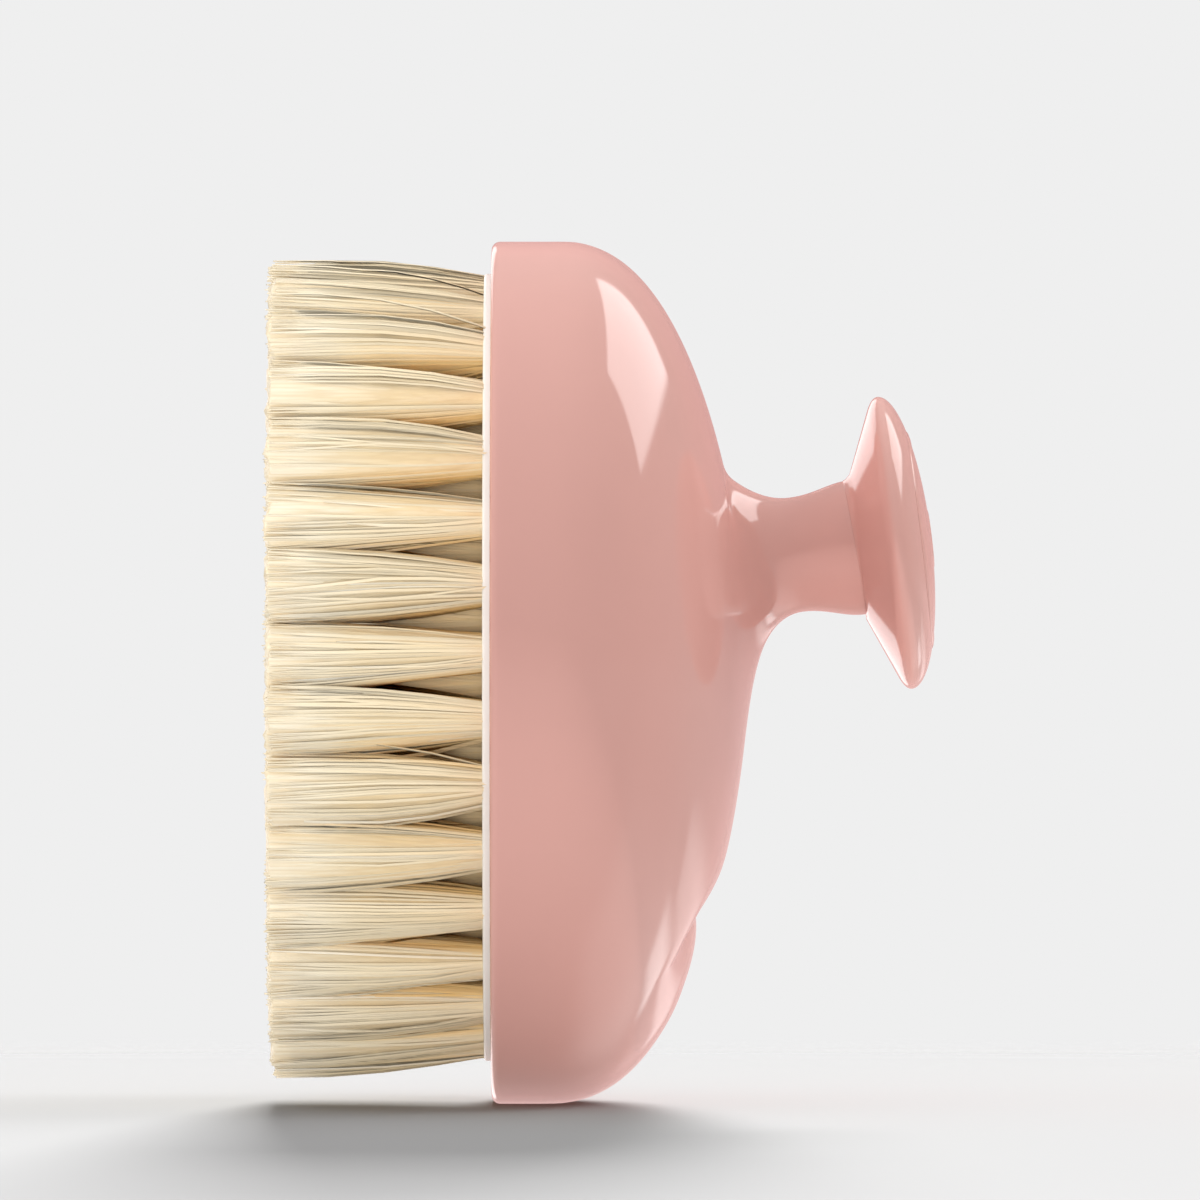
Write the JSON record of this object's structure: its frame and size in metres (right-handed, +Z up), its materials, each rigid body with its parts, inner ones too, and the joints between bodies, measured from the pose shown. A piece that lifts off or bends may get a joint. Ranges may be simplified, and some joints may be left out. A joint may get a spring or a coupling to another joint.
{
  "type": "body brush",
  "caption": "Oval palm body brush: glossy domed plastic handle with a mushroom knob on a short neck, a finger scoop, and an oval plate of flared plant-fibre tufts.",
  "frame": {"origin": "middle of the small flat on the lower end of the oval rim, which is the face the brush stands on", "axes": "+Z up along the oval's long axis, +X from the bristles to the knob, so the bristles point along -X, and Y across the oval"},
  "size_m": [0.089, 0.098, 0.115],
  "materials": {
    "handle_pink": "gloss",
    "screw_steel": "satin",
    "plate_white": "satin",
    "tuft_fibre": "matte"
  },
  "bodies": {
    "root": {"handle_shell": "handle_pink", "knob": "handle_pink", "knob_cap": "handle_pink", "knob_screw": "screw_steel", "bristle_plate": "plate_white", "tuft_row_1": "tuft_fibre", "tuft_row_2": "tuft_fibre", "tuft_row_3": "tuft_fibre", "tuft_row_4": "tuft_fibre", "tuft_row_5": "tuft_fibre", "tuft_row_6": "tuft_fibre"}
  },
  "joints": []
}
